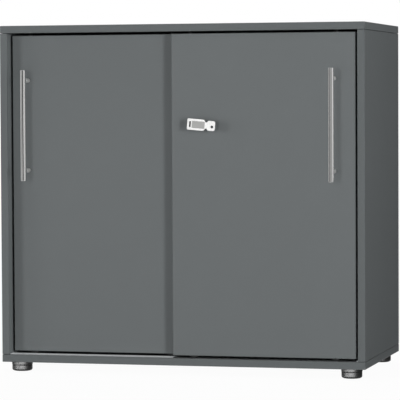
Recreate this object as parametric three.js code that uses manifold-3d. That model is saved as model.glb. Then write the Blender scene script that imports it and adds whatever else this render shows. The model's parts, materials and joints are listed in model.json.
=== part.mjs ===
// A low office cabinet with two sliding doors, on four levelling feet.
// Millimetres. X runs to the right, Y to the back, Z up. The floor is Z = 0.
import * as THREE from 'three';
import { mergeVertices } from 'three/addons/utils/BufferGeometryUtils.js';
import Module from 'manifold-3d';

const wasm = await Module();
wasm.setup();

// Carcass
const cabinetWidth = 800;
const cabinetDepth = 400;
const carcassHeight = 727;
const boardThickness = 16;
const backThickness = 8;
const backSetIn = 12;
const grooveDepth = 6;
const shelfThickness = 16;
const shelfSetBack = 60;
const shelfSideGap = 0.5;
const shelfBackGap = 1;

// Shelf pins and their holes
const pinDiameter = 5;
const pinInBoard = 8;
const pinUnderShelf = 8;
const pinFromShelfEnd = 40;
const pinHolePitch = 32;
const pinHoleSteps = [-1, 0, 1];

// Levelling feet
const footHeight = 21;
const footFromSide = 35;
const footFromEdge = 32;
const footMountDiameter = 45;
const footMountHeight = 8;
const footBaseDiameter = 44;
const footRimRadius = 3;
const spindleDiameter = 10;
const spindleBelowTop = 1;
const hexKeySize = 6;
const hexKeyDepth = 6;

// Doors
const doorThickness = 16;
const doorOverlap = 35;
const doorSideGap = 4.5;
const doorTopGap = 5;
const doorBottomGap = 5.8;
const doorRunningGap = 4.5;
const frontDoorInset = 3;

// Lower track, a flat strip with a running groove under each door
const trackThickness = 1.8;
const trackGrooveWidth = 3;
const trackGrooveDepth = 1.2;
const trackBehindDoor = 3;
const trackFrontInset = 5;

// Upper rail, let into the top board
const railHeight = 7;
const railFrontInset = 4;
const railSlotDepth = 6;
const railSlotWidth = 5.6;

// Door rollers and upper guides
const wheelDiameter = 21.2;
const wheelWidth = 6;
const wheelRidgeHeight = 1.4;
const wheelRidgeWidth = 2.4;
const wheelClearance = 0.9;
const wheelSideClearance = 0.4;
const wheelFromDoorEdge = 45;
const axleDiameter = 3;
const housingWidth = 36;
const housingThickness = 11;
const housingHeight = 20;
const guideFromDoorEdge = 40;
const guideBodyDiameter = 8;
const guideBodyDepth = 14;
const guideCollarDiameter = 12;
const guideCollarHeight = 1.5;
const guidePinDiameter = 4.8;
const guidePinInRail = 4;

// Handles
const barDiameter = 13;
const barLength = 238;
const barChamfer = 0.8;
const barStandOff = 34.5;
const barCentreBelowTop = 215;
const postDiameter = 9;
const postFromBarEnd = 22;
const leftHandleFromEdge = 35.3;
const rightHandleFromEdge = 45.2;
const handleScrewDiameter = 4;
const handleScrewHead = 8.4;
const handleScrewHeadHeight = 2.4;
const handleScrewInPost = 10;

// Push lock of the front door and its striker on the rear door
const lockFromDoorEdge = 45.5;
const lockBelowTop = 212.3;
const sleeveDiameter = 17.4;
const sleeveDepth = 12.6;
const sleeveFlangeDiameter = 19.6;
const sleeveFlangeThickness = 1.2;
const barrelDiameter = 14;
const barrelProud = 9.5;
const barrelInDoor = 5.4;
const barrelRearWall = 1.6;
const boltDiameter = 7;
const boltTipDepth = 12.6;
const plugDiameter = 9;
const strikerThickness = 2.5;
const strikerHeight = 30;
const strikerOnDoor = 27;
const strikerPastHole = 5;
const strikerScrewDiameter = 3.5;
const strikerScrewHead = 6.6;
const strikerScrewHeadHeight = 1.9;
const strikerScrewLength = 14;
const strikerScrewInset = 7;

// Folding key
const keyTilt = THREE.MathUtils.degToRad(5.2);
const bladeThickness = 2;
const bladeWidth = 6.4;
const bladeInPlug = 11;
const stalkReach = 7;
const stalkThickness = 3.4;
const stalkHeight = 11.7;
const keyPinDiameter = 1.6;
const keyPinFromBowBack = 2.1;
const bowThickness = 5;
const bowEndFromPin = 6.3;
const bowLength = 61;
const bowHeight = 23.6;
const bowCornerRadius = 2.6;
const bowShoulderRadius = 6;
const bowWaistHeight = 13.4;
const bowTabLength = 17.5;
const bowTabHeight = 20.8;
const bowTabRadius = 4;
const bowWaistLength = 4;
const bowFieldDepth = 0.5;
const bowFieldFromPin = 4;
const bowFieldLength = 28;
const bowFieldHeight = 15;
const bowSlotWidth = 3.4;
const bowSlotDepth = 0.5;
const ringHoleDiameter = 5;
const ringHoleFromEnd = 6.6;
const ringHoleDrop = 2;

// Clearances, the overrun of cuts, and how finely round pieces are faceted
const seatClearance = 0.3;
const rollingClearance = 0.2;
const cutOverrun = 1;
const weldDistance = 0.0001;
const fineSides = 28;
const middleSides = 20;
const smallSides = 14;
const hexSides = 6;
const cornerSteps = 4;

// Places that follow from the sizes above
const innerWidth = cabinetWidth - 2 * boardThickness;
const innerHeight = carcassHeight - 2 * boardThickness;
const rearDoorInset = frontDoorInset + doorThickness + doorRunningGap;
const doorWidth = (innerWidth - 2 * doorSideGap + doorOverlap) / 2;
const doorHeight = innerHeight - doorTopGap - doorBottomGap;
const trackDepth = rearDoorInset + doorThickness + trackBehindDoor;
const doorCentres = [frontDoorInset, rearDoorInset].map((inset) => inset + doorThickness / 2);
const handleReach = barStandOff + barDiameter / 2 - frontDoorInset;
const frontY = (handleReach - cabinetDepth) / 2;
const floorBoardTop = footHeight + boardThickness;
const topBoardUnderside = footHeight + carcassHeight - boardThickness;
const doorBottom = floorBoardTop + doorBottomGap;
const backFrontFace = cabinetDepth - backSetIn - backThickness;
const grooveWidth = backThickness + 2 * seatClearance;
const backTongue = grooveDepth - seatClearance;
const shelfUnderside = floorBoardTop + (innerHeight - shelfThickness) / 2;
const shelfDepth = backFrontFace - shelfSetBack - shelfBackGap;
const pinDepths = [shelfSetBack + pinFromShelfEnd, shelfSetBack + shelfDepth - pinFromShelfEnd];
const pinHeight = shelfUnderside - pinDiameter / 2 - seatClearance;
const grooveFloor = trackThickness - trackGrooveDepth;
const axleHeight = grooveFloor + rollingClearance + wheelDiameter / 2 - doorBottomGap;
const postSpacing = barLength - 2 * postFromBarEnd;
const carcassTop = footHeight + carcassHeight;
const handleHeight = carcassTop - barCentreBelowTop - doorBottom;
const lockCentreHeight = carcassTop - lockBelowTop - doorBottom;

const colours = {
  board: { color: 0x676b69, roughness: 0.55, metalness: 0 },
  inside: { color: 0x5f6362, roughness: 0.6, metalness: 0 },
  steel: { color: 0xa9acad, roughness: 0.32, metalness: 1 },
  palePlastic: { color: 0xb4b7b8, roughness: 0.5, metalness: 0 },
  blackPlastic: { color: 0x141515, roughness: 0.5, metalness: 0 },
  rollerPlastic: { color: 0x2c2d2d, roughness: 0.45, metalness: 0 },
  nickel: { color: 0xd2d3d1, roughness: 0.22, metalness: 1 },
};
const finishes = Object.fromEntries(
  Object.entries(colours).map(([name, look]) => [
    name,
    new THREE.MeshStandardMaterial({ ...look, name, flatShading: true }),
  ]),
);

const along = {
  right: new THREE.Vector3(1, 0, 0),
  back: new THREE.Vector3(0, 1, 0),
  front: new THREE.Vector3(0, -1, 0),
  up: new THREE.Vector3(0, 0, 1),
};

// A closed mesh as a solid that can be cut and joined
function solidFrom(geometry) {
  const shell = geometry.clone();
  shell.deleteAttribute('normal');
  shell.deleteAttribute('uv');
  const merged = mergeVertices(shell, weldDistance);
  const corners = merged.index.array;
  const triangles = [];
  for (let i = 0; i < corners.length; i += 3) {
    const [a, b, c] = corners.slice(i, i + 3);
    if (a !== b && b !== c && c !== a) triangles.push(a, b, c);
  }
  const mesh = new wasm.Mesh({
    numProp: 3,
    vertProperties: merged.attributes.position.array,
    triVerts: new Uint32Array(triangles),
  });
  return new wasm.Manifold(mesh);
}

function geometryFrom(solid) {
  const mesh = solid.getMesh();
  const geometry = new THREE.BufferGeometry();
  geometry.setAttribute('position', new THREE.BufferAttribute(mesh.vertProperties, 3));
  geometry.setIndex(new THREE.BufferAttribute(mesh.triVerts, 1));
  return geometry;
}

function cut(blank, tools) {
  const left = tools.reduce((solid, tool) => solid.subtract(solidFrom(tool)), solidFrom(blank));
  return geometryFrom(left);
}

function join(shapes) {
  const [first, ...rest] = shapes.map(solidFrom);
  return geometryFrom(rest.reduce((solid, next) => solid.add(next), first));
}

// A box given by its low corner and its size
function block(low, size) {
  const centre = low.map((start, axis) => start + size[axis] / 2);
  return new THREE.BoxGeometry(...size).translate(...centre);
}

function aimed(geometry, direction) {
  const turn = new THREE.Quaternion().setFromUnitVectors(along.back, direction);
  return geometry.applyQuaternion(turn);
}

// A turned piece: radius and height pairs, from the start of its axis to its end
function turned(profile, sides, direction, start = [0, 0, 0]) {
  const points = profile.map(([radius, height]) => new THREE.Vector2(radius, height));
  if (points[0].x > 0) points.push(points[0].clone());
  const shape = new THREE.LatheGeometry(points, sides);
  return aimed(shape, direction).translate(...start);
}

function rod(diameter, length, sides, direction, start = [0, 0, 0]) {
  const radius = diameter / 2;
  const profile = [[0, 0], [radius, 0], [radius, length], [0, length]];
  return turned(profile, sides, direction, start);
}

// A section drawn in depth and height, run along the width
function profiled(outline, length) {
  const section = new THREE.Shape(outline.map(([y, z]) => new THREE.Vector2(y, z)));
  const run = new THREE.ExtrudeGeometry(section, { depth: length, bevelEnabled: false });
  const turn = new THREE.Matrix4().makeBasis(along.back, along.up, along.right);
  return run.applyMatrix4(turn).translate(-length / 2, 0, 0);
}

// A flat plate with round corners, its face to the front and its middle at the given place.
// The radii go round from the lower right corner.
function plate(length, height, radii, thickness, [x, y, z]) {
  const [halfLength, halfHeight] = [length / 2, height / 2];
  const outline = new THREE.Shape();
  const corners = [[1, -1], [1, 1], [-1, 1], [-1, -1]];
  corners.forEach(([sideX, sideZ], index) => {
    const radius = radii[index];
    const start = (index - 1) * Math.PI / 2;
    const centreX = sideX * (halfLength - radius);
    const centreZ = sideZ * (halfHeight - radius);
    outline.absarc(centreX, centreZ, radius, start, start + Math.PI / 2);
  });
  const options = { depth: thickness, bevelEnabled: false, curveSegments: cornerSteps };
  const shape = new THREE.ExtrudeGeometry(outline, options);
  return aimedPlate(shape).translate(x, y + thickness, z);
}

// Stands a plate that was drawn flat upright, growing to the front
function aimedPlate(shape) {
  return shape.rotateX(Math.PI / 2);
}

function screwProfile(diameter, head, headHeight, length) {
  const [radius, headRadius] = [diameter / 2, head / 2];
  return [[0, 0], [headRadius, 0], [radius, headHeight], [radius, length], [0, length]];
}

// The hole for a countersunk screw: the same profile, wider by the clearance, and open at its head
function screwHole(diameter, head, headHeight, length) {
  const [radius, headRadius] = [diameter / 2 + seatClearance, head / 2 + seatClearance];
  return [
    [0, -cutOverrun],
    [headRadius, -cutOverrun],
    [headRadius, seatClearance],
    [radius, headHeight + seatClearance],
    [radius, length],
    [0, length],
  ];
}

const cabinet = new THREE.Group();

function place(parent, name, geometry, look, position = [0, 0, 0]) {
  const mesh = new THREE.Mesh(geometry, finishes[look]);
  mesh.name = name;
  mesh.position.set(...position);
  parent.add(mesh);
  return mesh;
}

const carcass = new THREE.Group();
carcass.position.y = frontY;
cabinet.add(carcass);

function backGroove(lowX, lowZ, sizeX, sizeZ) {
  return block([lowX, backFrontFace - seatClearance, lowZ], [sizeX, grooveWidth, sizeZ]);
}

function topPanel() {
  const board = block([-cabinetWidth / 2, 0, 0], [cabinetWidth, cabinetDepth, boardThickness]);
  const recessDepth = trackDepth - railFrontInset + 2 * seatClearance;
  const recess = block(
    [-innerWidth / 2, railFrontInset - seatClearance, -cutOverrun],
    [innerWidth, recessDepth, railHeight + cutOverrun],
  );
  const grooveLength = innerWidth + 2 * grooveDepth;
  const groove = backGroove(-grooveLength / 2, -cutOverrun, grooveLength, grooveDepth + cutOverrun);
  return cut(board, [recess, groove]);
}

function footPlaces() {
  const places = [];
  for (const [end, depth] of [['front', footFromEdge], ['rear', cabinetDepth - footFromEdge]]) {
    for (const [side, sign] of [['left', -1], ['right', 1]]) {
      places.push({ name: `${end}_${side}`, x: sign * (cabinetWidth / 2 - footFromSide), y: depth });
    }
  }
  return places;
}

function bottomPanel() {
  const board = block([-cabinetWidth / 2, 0, 0], [cabinetWidth, cabinetDepth, boardThickness]);
  const grooveLength = innerWidth + 2 * grooveDepth;
  const groove = backGroove(
    -grooveLength / 2,
    boardThickness - grooveDepth,
    grooveLength,
    grooveDepth + cutOverrun,
  );
  const holeDiameter = spindleDiameter + 2 * seatClearance;
  const holeLength = boardThickness + 2 * cutOverrun;
  const holes = footPlaces().map(({ x, y }) =>
    rod(holeDiameter, holeLength, middleSides, along.up, [x, y, -cutOverrun]),
  );
  return cut(board, [groove, ...holes]);
}

// A side board with its outer face at X = 0, reaching inwards from there
function sidePanel(sign) {
  // The low X of a stretch that lies between two depths below the outer face
  const lowX = (from, to) => (sign < 0 ? from : -to);
  const board = block([lowX(0, boardThickness), 0, 0], [boardThickness, cabinetDepth, innerHeight]);
  const grooveBottom = boardThickness - grooveDepth;
  const openSide = boardThickness + cutOverrun;
  const grooveLength = innerHeight + 2 * cutOverrun;
  const groove = backGroove(
    lowX(grooveBottom, openSide),
    -cutOverrun,
    openSide - grooveBottom,
    grooveLength,
  );
  const holeDiameter = pinDiameter + 2 * seatClearance;
  const holeBottom = boardThickness - pinInBoard - seatClearance;
  const holes = [];
  for (const depth of pinDepths) {
    for (const step of pinHoleSteps) {
      const height = pinHeight - floorBoardTop + step * pinHolePitch;
      const start = [lowX(holeBottom, openSide), depth, height];
      holes.push(rod(holeDiameter, openSide - holeBottom, smallSides, along.right, start));
    }
  }
  return cut(board, [groove, ...holes]);
}

function buildCarcass() {
  place(carcass, 'top_panel', topPanel(), 'board', [0, 0, topBoardUnderside]);
  place(carcass, 'bottom_panel', bottomPanel(), 'board', [0, 0, footHeight]);
  for (const [side, sign] of [['left', -1], ['right', 1]]) {
    const outerX = sign * cabinetWidth / 2;
    place(carcass, `${side}_side_panel`, sidePanel(sign), 'board', [outerX, 0, floorBoardTop]);
  }
  const backSize = [innerWidth + 2 * backTongue, backThickness, innerHeight + 2 * backTongue];
  const backLow = [-backSize[0] / 2, backFrontFace, floorBoardTop - backTongue];
  place(carcass, 'back_panel', block(backLow, backSize), 'inside');
  const shelfWidth = innerWidth - 2 * shelfSideGap;
  const shelf = block([-shelfWidth / 2, shelfSetBack, 0], [shelfWidth, shelfDepth, shelfThickness]);
  place(carcass, 'shelf', shelf, 'inside', [0, 0, shelfUnderside]);
}

function buildShelfPins() {
  const length = pinInBoard + pinUnderShelf;
  const pin = rod(pinDiameter, length, smallSides, along.right, [-length / 2, 0, 0]);
  const reach = innerWidth / 2 + pinInBoard - length / 2;
  pinDepths.forEach((depth, index) => {
    const end = index === 0 ? 'front' : 'rear';
    for (const [side, sign] of [['left', -1], ['right', 1]]) {
      place(carcass, `shelf_pin_${end}_${side}`, pin, 'steel', [sign * reach, depth, pinHeight]);
    }
  });
}

function bottomTrack() {
  const half = trackGrooveWidth / 2;
  const grooves = [...doorCentres].reverse().flatMap((centre) => [
    [centre + half, trackThickness],
    [centre + half, grooveFloor],
    [centre - half, grooveFloor],
    [centre - half, trackThickness],
  ]);
  const outline = [
    [trackFrontInset, 0],
    [trackDepth, 0],
    [trackDepth, trackThickness],
    ...grooves,
    [trackFrontInset, trackThickness],
  ];
  return profiled(outline, innerWidth - 2 * seatClearance);
}

function topRail() {
  const half = railSlotWidth / 2;
  const slots = doorCentres.flatMap((centre) => [
    [centre - half, 0],
    [centre - half, railSlotDepth],
    [centre + half, railSlotDepth],
    [centre + half, 0],
  ]);
  const outline = [
    [railFrontInset, 0],
    ...slots,
    [trackDepth, 0],
    [trackDepth, railHeight],
    [railFrontInset, railHeight],
  ];
  return profiled(outline, innerWidth - 2 * seatClearance);
}

function buildRails() {
  place(carcass, 'bottom_track', bottomTrack(), 'palePlastic', [0, 0, floorBoardTop]);
  place(carcass, 'top_rail', topRail(), 'blackPlastic', [0, 0, topBoardUnderside]);
}

// The ring that is fixed under the bottom board and guides the foot's spindle
function footMount() {
  const radius = footMountDiameter / 2;
  const bore = spindleDiameter / 2 + seatClearance;
  const profile = [[bore, 0], [radius, 0], [radius, footMountHeight], [bore, footMountHeight]];
  return turned(profile, fineSides, along.up, [0, 0, footHeight - footMountHeight]);
}

// The foot and its spindle, turned from above with a hex key through the bottom board
function footBase() {
  const radius = footBaseDiameter / 2;
  const top = footHeight - footMountHeight - seatClearance;
  const spindleTop = footHeight + boardThickness - spindleBelowTop;
  const rim = [];
  for (let step = 0; step <= cornerSteps; step += 1) {
    const angle = (step / cornerSteps) * Math.PI / 2;
    const inset = radius - footRimRadius + footRimRadius * Math.sin(angle);
    rim.push([inset, footRimRadius - footRimRadius * Math.cos(angle)]);
  }
  const profile = [
    [0, 0],
    ...rim,
    [radius, top],
    [spindleDiameter / 2, top],
    [spindleDiameter / 2, spindleTop],
    [0, spindleTop],
  ];
  const hexAcrossCorners = hexKeySize / Math.cos(Math.PI / hexSides);
  const socketStart = [0, 0, spindleTop - hexKeyDepth];
  const socketLength = hexKeyDepth + cutOverrun;
  const socket = rod(hexAcrossCorners, socketLength, hexSides, along.up, socketStart);
  return cut(turned(profile, fineSides, along.up), [socket]);
}

function buildFeet() {
  const [mount, base] = [footMount(), footBase()];
  for (const { name, x, y } of footPlaces()) {
    place(carcass, `foot_mount_${name}`, mount, 'blackPlastic', [x, y, 0]);
    place(carcass, `foot_base_${name}`, base, 'blackPlastic', [x, y, 0]);
  }
}

// Everything on a door is placed from the door's lower left front corner
const doors = {
  left: { inset: rearDoorInset, lowX: -innerWidth / 2 + doorSideGap, handleX: leftHandleFromEdge },
  right: {
    inset: frontDoorInset,
    lowX: innerWidth / 2 - doorSideGap - doorWidth,
    handleX: doorWidth - rightHandleFromEdge,
  },
};
const wheelPlaces = [['left', wheelFromDoorEdge], ['right', doorWidth - wheelFromDoorEdge]];
const guidePlaces = [['left', guideFromDoorEdge], ['right', doorWidth - guideFromDoorEdge]];
const postHeights = [['upper', postSpacing / 2], ['lower', -postSpacing / 2]];
const handleScrewLength = doorThickness - seatClearance + handleScrewInPost;
const middleOfDoor = doorThickness / 2;

function rollerPocket(x) {
  const width = housingWidth + 2 * seatClearance;
  const thickness = housingThickness + 2 * seatClearance;
  const low = [x - width / 2, middleOfDoor - thickness / 2, -cutOverrun];
  return block(low, [width, thickness, housingHeight + seatClearance + cutOverrun]);
}

function guideBore(x) {
  const diameter = guideBodyDiameter + 2 * seatClearance;
  const start = [x, middleOfDoor, doorHeight - guideBodyDepth - seatClearance];
  const length = guideBodyDepth + seatClearance + cutOverrun;
  return rod(diameter, length, middleSides, along.up, start);
}

function handleScrewBore(x, z) {
  const hole = screwHole(
    handleScrewDiameter,
    handleScrewHead,
    handleScrewHeadHeight,
    doorThickness + cutOverrun,
  );
  return turned(hole, smallSides, along.front, [x, doorThickness - seatClearance, z]);
}

function lockBores() {
  const sleeveBore = sleeveDiameter + 2 * seatClearance;
  const boltBore = boltDiameter + 2 * seatClearance;
  const sleeveBoreDepth = sleeveDepth + seatClearance;
  const start = [lockFromDoorEdge, -cutOverrun, lockCentreHeight];
  return [
    rod(sleeveBore, sleeveBoreDepth + cutOverrun, fineSides, along.back, start),
    rod(boltBore, doorThickness + 2 * cutOverrun, middleSides, along.back, start),
  ];
}

function strikerScrewPlaces() {
  const edge = strikerHeight / 2 - strikerScrewInset;
  const x = doorWidth - strikerOnDoor + strikerScrewInset;
  return [['upper', x, edge], ['lower', x, -edge]];
}

function strikerScrewBores() {
  const diameter = strikerScrewDiameter + 2 * seatClearance;
  const length = strikerScrewLength - strikerThickness + seatClearance + cutOverrun;
  return strikerScrewPlaces().map(([, x, z]) =>
    rod(diameter, length, smallSides, along.back, [x, -cutOverrun, lockCentreHeight + z]),
  );
}

function doorPanel(side) {
  const board = block([0, 0, 0], [doorWidth, doorThickness, doorHeight]);
  const cuts = [
    ...wheelPlaces.map(([, x]) => rollerPocket(x)),
    ...guidePlaces.map(([, x]) => guideBore(x)),
    ...postHeights.map(([, z]) => handleScrewBore(doors[side].handleX, handleHeight + z)),
    ...(side === 'right' ? lockBores() : strikerScrewBores()),
  ];
  return cut(board, cuts);
}

function rollerHousing() {
  const low = [-housingWidth / 2, -housingThickness / 2, 0];
  const body = block(low, [housingWidth, housingThickness, housingHeight]);
  const slotWidth = wheelDiameter + 2 * wheelClearance;
  const slotThickness = wheelWidth + 2 * wheelSideClearance;
  const slotTop = axleHeight + wheelDiameter / 2 + wheelClearance;
  const slotLow = [-slotWidth / 2, -slotThickness / 2, -cutOverrun];
  const slot = block(slotLow, [slotWidth, slotThickness, slotTop + cutOverrun]);
  const boreStart = [0, -housingThickness / 2 - cutOverrun, axleHeight];
  const boreLength = housingThickness + 2 * cutOverrun;
  const bore = rod(axleDiameter + 2 * seatClearance, boreLength, smallSides, along.back, boreStart);
  return cut(body, [slot, bore]);
}

// A wheel whose ridge runs in the track's groove
function rollerWheel() {
  const [bore, ridge] = [axleDiameter / 2 + seatClearance, wheelDiameter / 2];
  const shoulder = ridge - wheelRidgeHeight;
  const [half, halfRidge] = [wheelWidth / 2, wheelRidgeWidth / 2];
  const profile = [
    [bore, -half],
    [shoulder, -half],
    [shoulder, -halfRidge],
    [ridge, -halfRidge],
    [ridge, halfRidge],
    [shoulder, halfRidge],
    [shoulder, half],
    [bore, half],
  ];
  return turned(profile, middleSides, along.back);
}

function upperGuide() {
  const [body, collar, pin] = [guideBodyDiameter, guideCollarDiameter, guidePinDiameter].map((d) => d / 2);
  const tip = doorTopGap + guidePinInRail;
  const profile = [
    [0, -guideBodyDepth],
    [body, -guideBodyDepth],
    [body, 0],
    [collar, 0],
    [collar, guideCollarHeight],
    [pin, guideCollarHeight],
    [pin, tip],
    [0, tip],
  ];
  return turned(profile, smallSides, along.up);
}

function handleBar() {
  const [radius, half] = [barDiameter / 2, barLength / 2];
  const profile = [
    [0, -half],
    [radius - barChamfer, -half],
    [radius, barChamfer - half],
    [radius, half - barChamfer],
    [radius - barChamfer, half],
    [0, half],
  ];
  return turned(profile, fineSides, along.up);
}

// A post from the door's face to the bar, hollowed at its end to fit the bar
function handlePost() {
  const post = rod(postDiameter, barStandOff, middleSides, along.back, [0, -barStandOff, 0]);
  const saddleDiameter = barDiameter + 2 * seatClearance;
  const saddleStart = [0, -barStandOff, -postDiameter];
  const saddle = rod(saddleDiameter, 2 * postDiameter, fineSides, along.up, saddleStart);
  const boreStart = [0, -handleScrewInPost - seatClearance, 0];
  const boreLength = handleScrewInPost + seatClearance + cutOverrun;
  const bore = rod(handleScrewDiameter + 2 * seatClearance, boreLength, smallSides, along.back, boreStart);
  return cut(post, [saddle, bore]);
}

function handleScrew() {
  const profile = screwProfile(
    handleScrewDiameter,
    handleScrewHead,
    handleScrewHeadHeight,
    handleScrewLength,
  );
  return turned(profile, smallSides, along.front);
}

function buildHandle(door, side) {
  const x = doors[side].handleX;
  place(door, `${side}_handle_bar`, handleBar(), 'steel', [x, -barStandOff, handleHeight]);
  for (const [level, offset] of postHeights) {
    const z = handleHeight + offset;
    place(door, `${side}_handle_post_${level}`, handlePost(), 'steel', [x, 0, z]);
    const head = [x, doorThickness - seatClearance, z];
    place(door, `${side}_handle_screw_${level}`, handleScrew(), 'steel', head);
  }
}

function buildRunningGear(door, side) {
  const axleLength = housingThickness - 2 * seatClearance;
  const axle = rod(axleDiameter, axleLength, smallSides, along.back, [0, -axleLength / 2, 0]);
  for (const [end, x] of wheelPlaces) {
    place(door, `${side}_roller_housing_${end}`, rollerHousing(), 'blackPlastic', [x, middleOfDoor, 0]);
    const centre = [x, middleOfDoor, axleHeight];
    place(door, `${side}_roller_wheel_${end}`, rollerWheel(), 'rollerPlastic', centre);
    place(door, `${side}_roller_axle_${end}`, axle, 'steel', centre);
  }
  for (const [end, x] of guidePlaces) {
    place(door, `${side}_top_guide_${end}`, upperGuide(), 'blackPlastic', [x, middleOfDoor, doorHeight]);
  }
}

// The steel plate on the rear door whose hole takes the lock's bolt
function lockStriker() {
  const holeX = lockFromDoorEdge - doorOverlap;
  const holeRadius = boltDiameter / 2 + seatClearance;
  const length = strikerOnDoor + holeX + holeRadius + strikerPastHole;
  const low = [-strikerOnDoor, -strikerThickness, -strikerHeight / 2];
  const blank = block(low, [length, strikerThickness, strikerHeight]);
  const holeLength = strikerThickness + 2 * cutOverrun;
  const holeStart = [holeX, -strikerThickness - cutOverrun, 0];
  const boltHole = rod(2 * holeRadius, holeLength, middleSides, along.back, holeStart);
  const screwHoles = strikerScrewPlaces().map(([, x, z]) => {
    const hole = screwHole(
      strikerScrewDiameter,
      strikerScrewHead,
      strikerScrewHeadHeight,
      strikerThickness + cutOverrun,
    );
    const start = [x - doorWidth, seatClearance - strikerThickness, z];
    return turned(hole, smallSides, along.back, start);
  });
  return cut(blank, [boltHole, ...screwHoles]);
}

function buildStriker(door) {
  place(door, 'lock_striker', lockStriker(), 'steel', [doorWidth, 0, lockCentreHeight]);
  const profile = screwProfile(
    strikerScrewDiameter,
    strikerScrewHead,
    strikerScrewHeadHeight,
    strikerScrewLength,
  );
  for (const [level, x, z] of strikerScrewPlaces()) {
    const head = [x, seatClearance - strikerThickness, lockCentreHeight + z];
    place(door, `striker_screw_${level}`, turned(profile, smallSides, along.back), 'steel', head);
  }
}

// The fixed sleeve of the lock, with a thin flange on the door's face
function lockSleeve() {
  const bore = barrelDiameter / 2 + seatClearance;
  const [outer, flange] = [sleeveDiameter / 2, sleeveFlangeDiameter / 2];
  const profile = [
    [bore, -sleeveFlangeThickness],
    [flange, -sleeveFlangeThickness],
    [flange, 0],
    [outer, 0],
    [outer, sleeveDepth],
    [bore, sleeveDepth],
  ];
  return turned(profile, fineSides, along.back);
}

// The part of the lock that is pushed in; its bore holds the turning plug
function lockBarrel() {
  const length = barrelProud + barrelInDoor;
  const barrel = rod(barrelDiameter, length, fineSides, along.back, [0, -barrelProud, 0]);
  const boreStart = [0, -barrelProud - cutOverrun, 0];
  const boreLength = length - barrelRearWall + cutOverrun;
  const bore = rod(plugDiameter + 2 * seatClearance, boreLength, middleSides, along.back, boreStart);
  return cut(barrel, [bore]);
}

function lockPlug() {
  const length = barrelProud + barrelInDoor - barrelRearWall - seatClearance;
  const plug = rod(plugDiameter, length, middleSides, along.back);
  const [slotX, slotZ] = [bladeThickness, bladeWidth].map((size) => size + 2 * seatClearance);
  const low = [-slotX / 2, -cutOverrun, -slotZ / 2];
  const keyway = block(low, [slotX, bladeInPlug + seatClearance + cutOverrun, slotZ]);
  return cut(plug, [keyway]);
}

// The blade, and the flat stalk with a round end that carries the bow's pin in front of the plug
function keyBlade() {
  const blade = block([-bladeThickness / 2, 0, -bladeWidth / 2], [bladeThickness, bladeInPlug, bladeWidth]);
  const stalkLow = [-stalkThickness / 2, -stalkReach, -stalkHeight / 2];
  const stalk = block(stalkLow, [stalkThickness, stalkReach - seatClearance, stalkHeight]);
  const endStart = [0, -stalkReach, -stalkHeight / 2];
  const end = rod(stalkThickness, stalkHeight, middleSides, along.up, endStart);
  const neckLow = [-bladeThickness / 2, -stalkReach / 2, -bladeWidth / 2];
  const neck = block(neckLow, [bladeThickness, stalkReach / 2 + cutOverrun, bladeWidth]);
  const boreLength = stalkHeight + 2 * cutOverrun;
  const boreStart = [0, -stalkReach, -boreLength / 2];
  const bore = rod(keyPinDiameter + 2 * seatClearance, boreLength, smallSides, along.up, boreStart);
  return cut(join([blade, stalk, end, neck]), [bore]);
}

function keyPin() {
  const length = bowHeight - 2 * seatClearance;
  return rod(keyPinDiameter, length, smallSides, along.up, [0, 0, -length / 2]);
}

// The bow, drawn from its pin: a broad plate, a narrow waist and a tab with the ring's hole
function keyBow() {
  const front = keyPinFromBowBack - bowThickness;
  const end = bowLength - bowEndFromPin;
  const tabStart = end - bowTabLength;
  const bodyLength = tabStart - bowWaistLength + bowEndFromPin;
  const bodyMiddle = bodyLength / 2 - bowEndFromPin;
  const bodyRadii = [bowShoulderRadius, bowShoulderRadius, bowCornerRadius, bowCornerRadius];
  const body = plate(bodyLength, bowHeight, bodyRadii, bowThickness, [bodyMiddle, front, 0]);
  const waistLength = bowWaistLength + 2 * bowShoulderRadius;
  const waistMiddle = tabStart - bowWaistLength / 2;
  const waistLow = [waistMiddle - waistLength / 2, front, -bowWaistHeight / 2];
  const waist = block(waistLow, [waistLength, bowThickness, bowWaistHeight]);
  const tabMiddle = end - bowTabLength / 2;
  const tabRadii = Array(bodyRadii.length).fill(bowTabRadius);
  const tab = plate(bowTabLength, bowTabHeight, tabRadii, bowThickness, [tabMiddle, front, 0]);
  const ringStart = [end - ringHoleFromEnd, front - cutOverrun, -ringHoleDrop];
  const ringHole = rod(
    ringHoleDiameter,
    bowThickness + 2 * cutOverrun,
    middleSides,
    along.back,
    ringStart,
  );
  return cut(join([body, waist, tab]), [ringHole, ...bowRecesses(front)]);
}

// The bow's shallow field and slot in front, its channel for the stalk behind, and its pin's bore
function bowRecesses(front) {
  const fieldLow = [bowFieldFromPin, front - cutOverrun, -bowFieldHeight / 2];
  const field = block(fieldLow, [bowFieldLength, bowFieldDepth + cutOverrun, bowFieldHeight]);
  const slotHeight = stalkHeight + 2 * seatClearance;
  const slotLow = [-bowSlotWidth / 2, front - cutOverrun, -slotHeight / 2];
  const slot = block(slotLow, [bowSlotWidth, bowSlotDepth + cutOverrun, slotHeight]);
  const halfStalk = stalkThickness / 2 + seatClearance;
  const channelLow = [-bowEndFromPin - cutOverrun, -halfStalk, -slotHeight / 2];
  const channelLength = bowEndFromPin + cutOverrun + halfStalk;
  const channelDepth = halfStalk + keyPinFromBowBack + cutOverrun;
  const channel = block(channelLow, [channelLength, channelDepth, slotHeight]);
  const boreLength = bowHeight + 2 * cutOverrun;
  const boreDiameter = keyPinDiameter + 2 * seatClearance;
  const bore = rod(boreDiameter, boreLength, smallSides, along.up, [0, 0, -boreLength / 2]);
  return [field, slot, channel, bore];
}

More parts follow.
